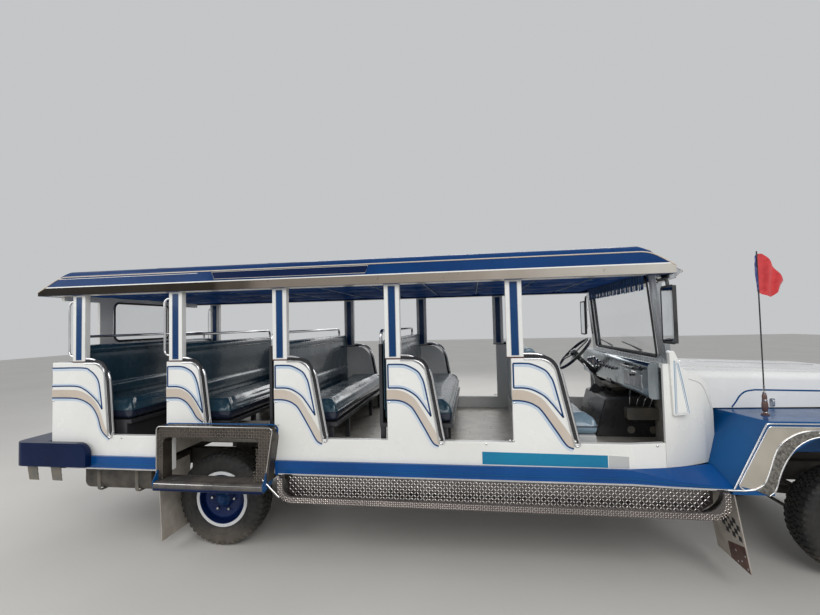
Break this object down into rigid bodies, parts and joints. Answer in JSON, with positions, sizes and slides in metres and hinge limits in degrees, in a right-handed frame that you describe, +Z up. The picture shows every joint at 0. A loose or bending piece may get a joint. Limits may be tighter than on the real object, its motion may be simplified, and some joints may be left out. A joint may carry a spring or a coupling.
{
  "type": "jeepney",
  "caption": "Long open-sided jeepney with cross benches, swooping side panels, a long square-fendered nose and a flat cambered roof.",
  "frame": {"origin": "on the ground under the centre of the vehicle's bounding box", "axes": "+X forward, +Y to the vehicle's left, +Z up"},
  "size_m": [7.06, 2.27, 2.345],
  "materials": {
    "body_white": "gloss white paint with blue pinstripes",
    "hood_white": "gloss white paint",
    "pillar_white": "gloss white paint with a deep blue inset strip",
    "band_blue": "gloss mid blue paint",
    "fender_blue": "gloss mid blue paint",
    "bumper_blue": "gloss navy paint",
    "roof_blue": "gloss blue paint over a pale polished band",
    "ceiling_vinyl": "padded blue vinyl with pale piping",
    "polished_steel": "mirror polished stainless",
    "windshield_steel": "polished stainless",
    "chrome_tube": "bright chrome",
    "chrome_bar": "bright chrome",
    "tread_plate": "diamond tread plate",
    "step_black": "worn dark paint",
    "flap_rubber": "pale matt rubber",
    "teal_vinyl": "glossy teal vinyl with seams",
    "seat_black": "semi-gloss black",
    "box_grey": "light grey paint",
    "cover_black": "gloss black paint",
    "frame_black": "matt black chassis paint with road dust",
    "engine_grey": "cast metal",
    "radiator_black": "matt black fins",
    "floor_pale": "pale gloss floor paint, worn",
    "rim_white": "white ring round a deep blue dished centre",
    "tyre_black": "treaded rubber",
    "clear_glass": "clear",
    "lamp_glass": "fluted lens",
    "tail_glass": "red lens",
    "wheel_plastic": "black rim with pale spokes",
    "mirror_black": "black tube and back plate",
    "mast_wood": "dark turned grip"
  },
  "bodies": {
    "body": {"chassis_frame": "frame_black", "leaf_springs": "frame_black", "rear_axle": "frame_black", "front_axle": "frame_black", "drive_shaft": "frame_black", "engine_block": "engine_grey", "fuel_tank": "frame_black", "radiator": "radiator_black", "floor_pan": "floor_pale", "floor_bearers": "frame_black", "body_side_right": "body_white", "body_side_left": "body_white", "side_skirts": "band_blue", "pillars": "pillar_white", "side_rails": "chrome_tube", "rear_wall": "body_white", "rear_window": "clear_glass", "roof_shell": "roof_blue", "ceiling_panel": "ceiling_vinyl", "sun_visor": "polished_steel", "windshield_frame": "windshield_steel", "windshield_glass": "clear_glass", "cowl": "body_white", "dashboard": "polished_steel", "steering_column": "frame_black", "front_fender_right": "fender_blue", "front_fender_left": "fender_blue", "grille": "polished_steel", "front_lamps": "lamp_glass", "rear_lamps": "tail_glass", "grab_handles": "chrome_tube", "front_bumper": "chrome_bar", "rear_bumper": "bumper_blue", "running_boards": "tread_plate", "wheel_arches": "tread_plate", "arch_steps": "step_black", "mud_flaps": "flap_rubber", "bench_cushions": "teal_vinyl", "bench_backs": "teal_vinyl", "bench_frames": "seat_black", "bench_rails": "chrome_tube", "front_seat_boxes": "box_grey", "front_seats": "teal_vinyl", "engine_cover": "cover_black", "mirrors": "mirror_black", "fender_mast": "mast_wood"},
    "knuckle_right": {"knuckle_right": "frame_black"},
    "knuckle_left": {"knuckle_left": "frame_black"},
    "tie_rod": {"tie_rod": "frame_black"},
    "wheel_front_right": {"rim_front_right": "rim_white", "tyre_front_right": "tyre_black"},
    "wheel_front_left": {"rim_front_left": "rim_white", "tyre_front_left": "tyre_black"},
    "wheel_rear_right": {"rim_rear_right": "rim_white", "tyre_rear_right": "tyre_black"},
    "wheel_rear_left": {"rim_rear_left": "rim_white", "tyre_rear_left": "tyre_black"},
    "steering_wheel": {"steering_wheel": "wheel_plastic"},
    "hood": {"hood": "hood_white"}
  },
  "joints": [
    {"name": "wheel_spin_rear_right", "type": "hinge", "parent": "body", "child": "wheel_rear_right", "pos_m": [-1.84, -0.6925, 0.37], "axis": [0, 1, 0], "continuous": true},
    {"name": "wheel_spin_rear_left", "type": "hinge", "parent": "body", "child": "wheel_rear_left", "pos_m": [-1.84, 0.6925, 0.37], "axis": [0, 1, 0], "continuous": true},
    {"name": "steer_right", "type": "hinge", "parent": "body", "child": "knuckle_right", "pos_m": [2.74, -0.575, 0.37], "axis": [0, 0, 1], "range_deg": [-30, 30]},
    {"name": "steer_left", "type": "hinge", "parent": "body", "child": "knuckle_left", "pos_m": [2.74, 0.575, 0.37], "axis": [0, 0, 1], "range_deg": [-30, 30]},
    {"name": "wheel_spin_front_right", "type": "hinge", "parent": "knuckle_right", "child": "wheel_front_right", "pos_m": [2.74, -0.6925, 0.37], "axis": [0, 1, 0], "continuous": true},
    {"name": "wheel_spin_front_left", "type": "hinge", "parent": "knuckle_left", "child": "wheel_front_left", "pos_m": [2.74, 0.6925, 0.37], "axis": [0, 1, 0], "continuous": true},
    {"name": "tie_rod_turn", "type": "hinge", "parent": "knuckle_right", "child": "tie_rod", "pos_m": [2.59, -0.575, 0.3], "axis": [0, 0, 1], "range_deg": [-30, 30]},
    {"name": "steering_wheel_turn", "type": "hinge", "parent": "body", "child": "steering_wheel", "pos_m": [1.26, 0.45, 1.41], "axis": [-0.7071, 0, 0.7071], "range_deg": [-420, 420]},
    {"name": "hood_hinge", "type": "hinge", "parent": "body", "child": "hood", "pos_m": [1.7, 0, 1.41], "axis": [0, -1, 0], "range_deg": [0, 55]}
  ],
  "couplings": [
    {"joint": "steer_left", "follows": "steer_right", "ratio": 1},
    {"joint": "tie_rod_turn", "follows": "steer_right", "ratio": -1},
    {"joint": "steering_wheel_turn", "follows": "steer_right", "ratio": 14}
  ]
}
